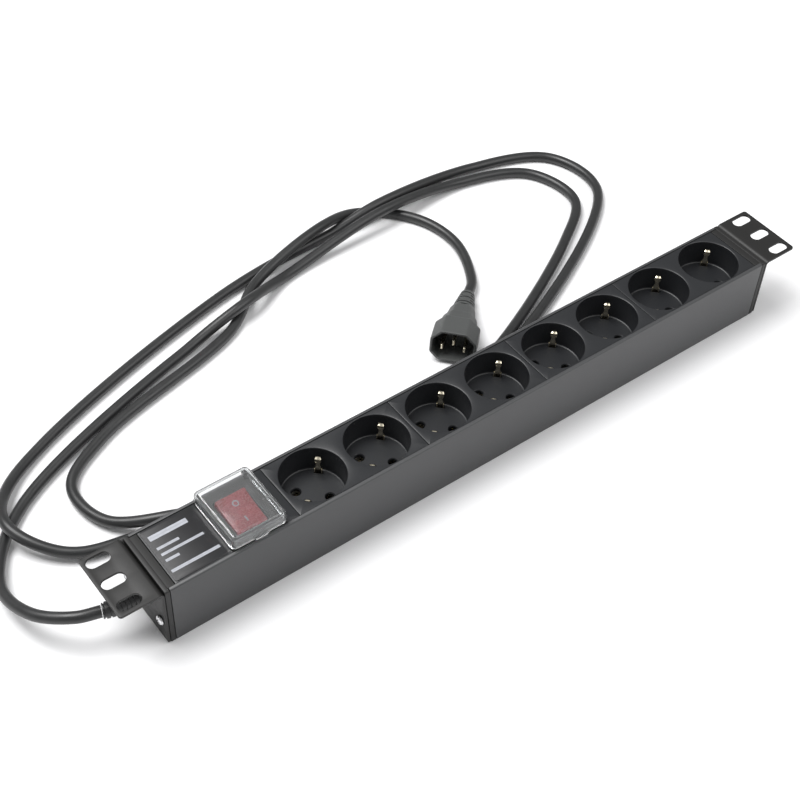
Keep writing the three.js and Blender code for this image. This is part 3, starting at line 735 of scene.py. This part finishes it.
def rocker():
    radius, half = 11.8, 9.2
    dish = [(y, rocker_surface(y)) for y in (10.6, 8.5, 6.5, 4, 2, 0, -2, -4, -6.5, -8.5, -10.6)]
    outline = [(0, -3.4)] + arc((0, 0), radius, -4.5, 21.5, 7) + dish + arc((0, 0), radius, 158.5, 184.5, 7)
    solid = Solid().drawn("x", outline, -half, half, 0.7)
    solid.turned([(-10.65, 0.8), (-10.5, 0.95), (10.5, 0.95), (10.65, 0.8)], 20)
    shape = solid.mesh("rocker")
    piece("rocker_paddle", moved(shape, x=SWITCH_X, z=41.5, tilt=8.5), "rocker_red", "rocker", ["rocker"])
    marks = Solid()
    bar_mark = rounded((-0.45, -7.2), (0.45, -3.6), 0.3, 4, 6)
    ring_out, ring_in = circle((0, 5.2), 1.9, 32), circle((0, 5.2), 1.15, 32)
    for outline, holes in ((bar_mark, []), (ring_out, [ring_in])):
        marks.drawn("z", outline, 0, 0.08, 0.02, holes)
    for vert in marks.bm.verts:
        vert.co.z += rocker_surface(vert.co.y / MM) * MM + 0.00001
    mesh = moved(marks.mesh("rocker_marks"), x=SWITCH_X, z=41.5, tilt=8.5)
    piece("rocker_marks", mesh, "rocker_red", "rocker", look="ink")


def cover_shell(inward, low):
    """A box with an open underside and round edges, drawn in by `inward` on every side but the underside."""
    radius, top = 3.0 - inward, 52.8 - inward
    near, far, half = -19.8 + inward, 20.2 - inward, 17.1 - inward
    solid = Solid()
    turns = [math.pi / 2 * i / 8 for i in range(9)]
    rows = [(low, 0.0), (top - radius - 0.4, 0.0)]
    rows += [(top - radius + radius * math.sin(a), radius * (1 - math.cos(a))) for a in turns]
    rings = []
    for z, i in rows:
        corner = 3.2 - inward - i
        rings.append(solid.ring("z", rounded((-half + i, near + i), (half - i, far - i), corner, 8, 16), z))
    solid.walls(rings)
    solid.flat(rings[0])
    solid.flat(rings[-1])
    return solid.mesh("shell")


def cover():
    wall, low = 1.4, 44.7
    shell = boolean(cover_shell(0, low), cover_shell(wall, low - 5))
    tab = Solid().drawn("z", rounded((-4, -21.3), (4, -19.1), (1, 1, 0, 0)), 44.9, 46.3, 0.25).mesh("tab")
    shell = union(shell, tab)
    floor_plan = rounded((wall - 17.1, HINGE_Y - 2.5), (17.1 - wall, 30), 0.0)
    room = Solid().drawn("z", floor_plan, 40, HINGE_Z + 2.25, 0.01)
    shell = boolean(shell, room.mesh("lug_room"))
    corner = [(HINGE_Y, 40)] + [(30, 40), (30, HINGE_Z), (HINGE_Y + 2.1, HINGE_Z)]
    corner += arc((HINGE_Y, HINGE_Z), 2.1, 0, -90, 12)[1:]
    shell = boolean(shell, Solid().drawn("x", corner, -19, 19, 0.01).mesh("corner"))
    bore = Solid().drawn("x", circle((HINGE_Y, HINGE_Z), 1.1, 24), -19, 19, 0.01)
    shell = boolean(shell, bore.mesh("bore"))
    piece("switch_cover_shell", moved(shell, x=SWITCH_X), "cover_clear", "switch_cover", ["switch_cover"])


# ---- Cord end pieces: bushing, plug, pins and relief ----

def cord_bushing():
    """A collar against the bracket and a tapered, grooved sleeve that curves back with the cord."""
    profile = [
        (-207, 5.2), (-207.3, 5.6), (-217.8, 5.6), (-217.8, 7), (-218, 7.2), (-219.2, 7.2), (-219.4, 7),
    ]
    start, end, grooves = -220.2, -240.2, 8
    step = (end - start) / grooves
    for i in range(grooves):
        a, b = start + step * i, start + step * (i + 1)
        wide, narrow = (6 - 1.6 * k / grooves for k in (i, i + 1))
        profile += [(a - 0.05, wide), ((a + b) / 2, (wide + narrow) / 2 + 0.05), (b + 0.75, narrow + 0.1)]
        profile += [(b + 0.65, narrow - 0.65), (b + 0.12, narrow - 0.65)]
    profile += [(-240.3, 4.35), (-240.8, 4.25), (-241, 4)]
    solid = Solid()
    rings = [solid.ring("x", circle((0, 0), radius, 48), place) for place, radius in profile]
    solid.walls(rings)
    solid.flat(rings[0])
    solid.flat(rings[-1])
    bend_from, bend_radius = -231.5, 28
    for vert in solid.bm.verts:
        x, y, z = vert.co / MM
        angle = (bend_from - x) / bend_radius
        if angle > 0:
            x = bend_from - (bend_radius - y) * math.sin(angle)
            y = bend_radius - (bend_radius - y) * math.cos(angle)
        vert.co = Vector((x, y, z + GLAND_Z)) * MM
    piece("cord_bushing_sleeve", solid.mesh("bushing"), "cord_rubber", replaces=["cord_bushing"])


PLUG = {"x": 28.9, "y": 54.2, "z": 13.5, "turn": 41.5, "lean": 8}


def plug_outline(wide, high, top_cut, bottom_cut, sides=5):
    """An outline with its upper corners cut off broadly and its lower corners rounder, all eased."""
    half, up = wide / 2, high / 2
    corners = [
        (-half, -up + bottom_cut), (-half + bottom_cut, -up),
        (half - bottom_cut, -up), (half, -up + bottom_cut),
        (half, up - top_cut), (half - top_cut, up), (-half + top_cut, up), (-half, up - top_cut),
    ]
    ease = 1.3
    points = []
    for before, here, after in zip(corners[-1:] + corners[:-1], corners, corners[1:] + corners[:1]):
        back = Vector(here) + (Vector(before) - Vector(here)).normalized() * ease
        on = Vector(here) + (Vector(after) - Vector(here)).normalized() * ease
        for i in range(sides + 1):
            t = i / sides
            points.append(tuple(back * (1 - t) ** 2 + Vector(here) * 2 * t * (1 - t) + on * t * t))
    return divided(points, sides + 1, 8)


def plug():
    """An open shroud, a stepped shoulder and a tapered grip, made as one loft with a cavity."""
    rows = [
        (0, 27.9, 21.3), (0.12, 28.3, 21.7), (0.4, 28.6, 22),
        (16.6, 28.6, 22), (17.5, 28.4, 21.8), (18, 27.6, 21.3),
        (18.4, 25.2, 19.6), (18.8, 24.4, 19.0), (19.4, 24.0, 18.8), (25.5, 21.8, 18.0), (26.6, 21.0, 17.6),
        (27.2, 19.4, 16.6), (27.8, 18.8, 16.3), (35.0, 16.6, 15.2), (36.8, 15.8, 14.6), (37.7, 15.0, 14.0),
        (38, 14.2, 13.4),
    ]
    solid = Solid()
    rings = []
    for x, wide, high in rows:
        size = wide / 28.6
        rings.append(solid.ring("x", plug_outline(wide, high, 6.6 * size, 5.2 * size), x))
    inner_rows = ((0, 26.1, 19.5), (0.3, 25.8, 19.2), (13.6, 25.2, 18.6), (14.5, 24.4, 17.8))
    inner = [solid.ring("x", plug_outline(w, h, 5.8, 4.6), x) for x, w, h in inner_rows]
    solid.walls(rings)
    solid.walls(inner)
    solid.wall(rings[0], inner[0])
    solid.flat(rings[-1])
    solid.flat(inner[-1])
    piece("plug_body_moulding", moved(solid.mesh("plug"), **PLUG), "plug_rubber", replaces=["plug_body"])
    for name, (y, z) in {"live": (7, -2), "neutral": (-7, -2), "earth": (0, 2)}.items():
        blade = rounded((y - 1, z - 2), (y + 1, z + 2), 0.35, 4)
        pin = Solid()
        ends = [(1.5, 0.7), (1.7, 0.45), (2.3, 0.15), (3, 0), (14.2, 0)]
        first, last = pin.stack("x", lambda i, o=blade: inset(o, i), ends)
        pin.flat(first)
        pin.flat(last)
        blade_mesh = moved(pin.mesh("pin"), **PLUG)
        piece(f"plug_pin_{name}_blade", blade_mesh, "brass", replaces=[f"plug_pin_{name}"])
    relief()


def relief():
    """A tapered sleeve with rows of short slots, each row turned against the last."""
    start, end, count, steps = 38.3, 57.2, 64, 240
    grooves, plain_end = 5, 1.5
    half_gap, gap_depth = 0.62, 1.25
    root_radius, taper, flattening = 7.2, 2.9, 1.08
    spacing = (end - start - 2 * plain_end) / grooves
    solid = Solid()
    rings = []
    for i in range(steps + 1):
        x = start + (end - start) * i / steps
        along = (x - start) / (end - start)
        radius = root_radius - taper * along
        row = math.floor((x - start - plain_end) / spacing)
        across = (x - start - plain_end) / spacing - row - 0.5
        in_groove = 0 <= row < grooves and abs(across) * spacing < half_gap
        points = []
        for k in range(count):
            angle = 2 * math.pi * k / count
            gap_there = in_groove and math.cos(2 * angle + math.pi * row) < 0.55
            r = radius - (gap_depth if gap_there else 0.0)
            points.append((r * flattening * math.cos(angle), r * math.sin(angle)))
        rings.append(solid.ring("x", points, x))
    solid.walls(rings)
    solid.flat(rings[0])
    solid.flat(rings[-1])
    piece("plug_relief_sleeve", moved(solid.mesh("relief"), **PLUG), "plug_rubber", replaces=["plug_relief"])


# ---- Power cord ----

CORD_DIAMETER = 0.0068
CORD_ROUTE = [
    (-0.2411, 0.0017, 0.022), (-0.254, 0.0062, 0.022), (-0.27, 0.024, 0.0175), (-0.273, 0.056, 0.0085),
    (-0.24, 0.1, 0.0034),
    (-0.095, 0.155, 0.004), (-0.051, 0.1615, 0.0116), (-0.012, 0.175, 0.0034), (0.072, 0.183, 0.0128),
    (0.142, 0.185, 0.0034), (0.186, 0.166, 0.0034), (0.194, 0.128, 0.0034), (0.16, 0.098, 0.0034),
    (0.042, 0.04, 0.0034), (0.008, 0.0375, 0.0034), (-0.195, 0.046, 0.0034),
    (-0.234, 0.057, 0.006), (-0.253, 0.087, 0.0118), (-0.236, 0.119, 0.005),
    (-0.06, 0.182, 0.0034), (0.034, 0.1925, 0.0034), (0.076, 0.192, 0.0114),
    (0.16, 0.193, 0.0034), (0.21, 0.171, 0.0034), (0.214, 0.126, 0.0034),
    (0.044, 0.033, 0.0034), (0.006, 0.0295, 0.0034), (-0.112, 0.0295, 0.0034),
    (-0.174, 0.041, 0.0114), (-0.206, 0.065, 0.005), (-0.209, 0.098, 0.0034), (-0.176, 0.121, 0.0034),
    (-0.07, 0.152, 0.0034), (-0.034, 0.1775, 0.0066), (0.03, 0.194, 0.012),
    (0.063, 0.199, 0.0036), (0.092, 0.171, 0.0034), (0.098, 0.138, 0.0034),
    (0.083, 0.102, 0.0041), (0.0716, 0.092, 0.0055),
]


def catmull_rom(points, per_step):
    """The centripetal curve through the points; it never sinks below the cord's own radius."""
    points = [Vector(p) for p in points]
    ends = [2 * points[0] - points[1], 2 * points[-1] - points[-2]]
    whole = [ends[0], *points, ends[1]]
    made = []
    for a, b, c, d in zip(whole, whole[1:], whole[2:], whole[3:]):
        ab, bc, cd = (math.sqrt((q - p).length) for p, q in ((a, b), (b, c), (c, d)))
        start = ((b - a) / ab - (c - a) / (ab + bc) + (c - b) / bc) * bc
        end = ((c - b) / bc - (d - b) / (bc + cd) + (d - c) / cd) * bc
        for i in range(per_step):
            t = i / per_step
            made.append(
                b + start * t + (3 * (c - b) - 2 * start - end) * t * t + (2 * (b - c) + start + end) * t ** 3
            )
    made.append(points[-1])
    for p in made:
        p.z = max(p.z, CORD_DIAMETER / 2)
    return made


def power_cord():
    line = catmull_rom(CORD_ROUTE, 20)
    data = bpy.data.curves.new("power_cord_flex", "CURVE")
    data.dimensions = "3D"
    data.bevel_depth = CORD_DIAMETER / 2
    data.bevel_resolution = 6
    data.use_fill_caps = True
    spline = data.splines.new("POLY")
    spline.points.add(len(line) - 1)
    for point, place in zip(spline.points, line):
        point.co = (*place, 1)
    made = bpy.data.objects.new("power_cord_flex", data)
    bpy.context.scene.collection.objects.link(made)
    data.materials.append(MATERIALS["cord_rubber"])
    for one in data.splines:
        one.use_smooth = True
    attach(made, "strip")
    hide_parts("power_cord")
    length = sum((q - p).length for p, q in zip(line, line[1:]))
    return made, length


# ---- Floor and light ----

def stage():
    mesh = bpy.data.meshes.new("floor")
    reach = 4.0
    corners = [(-reach, -reach, 0), (reach, -reach, 0), (reach, reach, 0), (-reach, reach, 0)]
    mesh.from_pydata(corners, [], [(0, 1, 2, 3)])
    floor = bpy.data.objects.new("floor", mesh)
    bpy.context.scene.collection.objects.link(floor)
    paper = Shader("white_paper", Roughness=0.9)
    paper.colour(paper.mix(paper.noise(60, 3), (0.86, 0.86, 0.87), (0.88, 0.88, 0.885)))
    mesh.materials.append(paper.material)
    floor.location.z = -0.0001


def area_light(name, place, target, size, power, colour=(1, 1, 1)):
    data = bpy.data.lights.new(name, "AREA")
    data.shape = "DISK"
    data.size = size
    data.energy = power
    data.color = colour
    light = bpy.data.objects.new(name, data)
    bpy.context.scene.collection.objects.link(light)
    light.location = place
    light.rotation_mode = "QUATERNION"
    light.rotation_quaternion = (Vector(target) - Vector(place)).to_track_quat("-Z", "Y")


def lighting():
    world = bpy.data.worlds.new("studio")
    world.use_nodes = True
    world.node_tree.nodes["Background"].inputs["Color"].default_value = (1, 1, 1, 1)
    world.node_tree.nodes["Background"].inputs["Strength"].default_value = 0.38
    bpy.context.scene.world = world
    area_light("key", (-0.5, 0.6, 1.6), (0, 0.05, 0), 1.2, 36)
    area_light("fill", (0.7, -0.9, 1.5), (0, 0, 0), 1.6, 14)


housing()
strip_ends()
sockets()
switch_panel()
label()
switch_frame()
rocker()
cover()
cord_bushing()
plug()

cord, cord_length = power_cord()
for name, node in nodes.items():
    node.data.materials.clear()
    node.data.materials.append(MATERIALS[SLOT_OF[name]])
stage()
lighting()
bpy.context.scene.view_settings.view_transform = "Standard"
